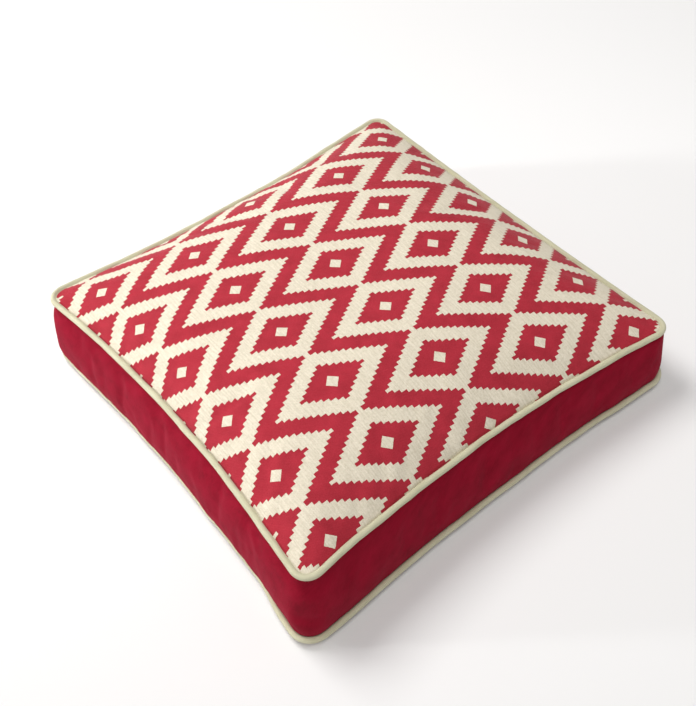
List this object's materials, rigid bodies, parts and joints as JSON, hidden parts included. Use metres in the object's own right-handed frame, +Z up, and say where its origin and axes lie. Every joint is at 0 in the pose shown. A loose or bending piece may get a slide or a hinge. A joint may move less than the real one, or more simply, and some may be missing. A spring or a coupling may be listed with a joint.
{
  "type": "chair seat pad",
  "caption": "Square box cushion for a chair seat: crowned patterned top, plain boxing, piped seams and a zipped back edge.",
  "frame": {"origin": "middle of the flat underside, on the surface that the pad lies on", "axes": "+Z up through the crowned top, the front edge faces -Y, the zipped back edge faces +Y, +X is to the right seen from the front"},
  "size_m": [0.4568, 0.4589, 0.128],
  "materials": {
    "foam": "open-cell, matt",
    "wadding": "soft fibre, matt",
    "patterned_cotton": "heavy woven cotton, red and cream stepped diamonds",
    "plain_cotton": "brushed plain-weave cotton",
    "piping_cotton": "bias-cut plain weave, matt",
    "cotton_cord": "twisted, matt",
    "zip_tape": "woven polyester tape",
    "zip_coil": "nylon coil, satin",
    "zip_metal": "nickel-free brass finish, satin"
  },
  "bodies": {
    "cushion": {"foam_core": "foam", "wadding_top": "wadding", "wadding_bottom": "wadding", "top_panel": "patterned_cotton", "bottom_panel": "plain_cotton", "boxing_band": "plain_cotton", "zip_strip_upper": "plain_cotton", "zip_strip_lower": "plain_cotton", "top_piping_cord": "cotton_cord", "top_piping_cover": "piping_cotton", "bottom_piping_cord": "cotton_cord", "bottom_piping_cover": "piping_cotton", "zip_tape_upper": "zip_tape", "zip_tape_lower": "zip_tape", "zip_coil_upper": "zip_coil", "zip_coil_lower": "zip_coil", "zip_top_stops": "zip_metal", "zip_bottom_stop": "zip_metal"},
    "slider": {"zip_slider": "zip_metal"},
    "puller": {"zip_puller": "zip_metal"}
  },
  "joints": [
    {"name": "zip_slide", "type": "slide", "parent": "cushion", "child": "slider", "axis": [-1, 0, 0], "range_m": [0, 0.353]},
    {"name": "zip_pull", "type": "hinge", "parent": "slider", "child": "puller", "pos_m": [0.1765, 0.2287, 0.0465], "axis": [0, 0, -1], "range_deg": [0, 180]}
  ]
}
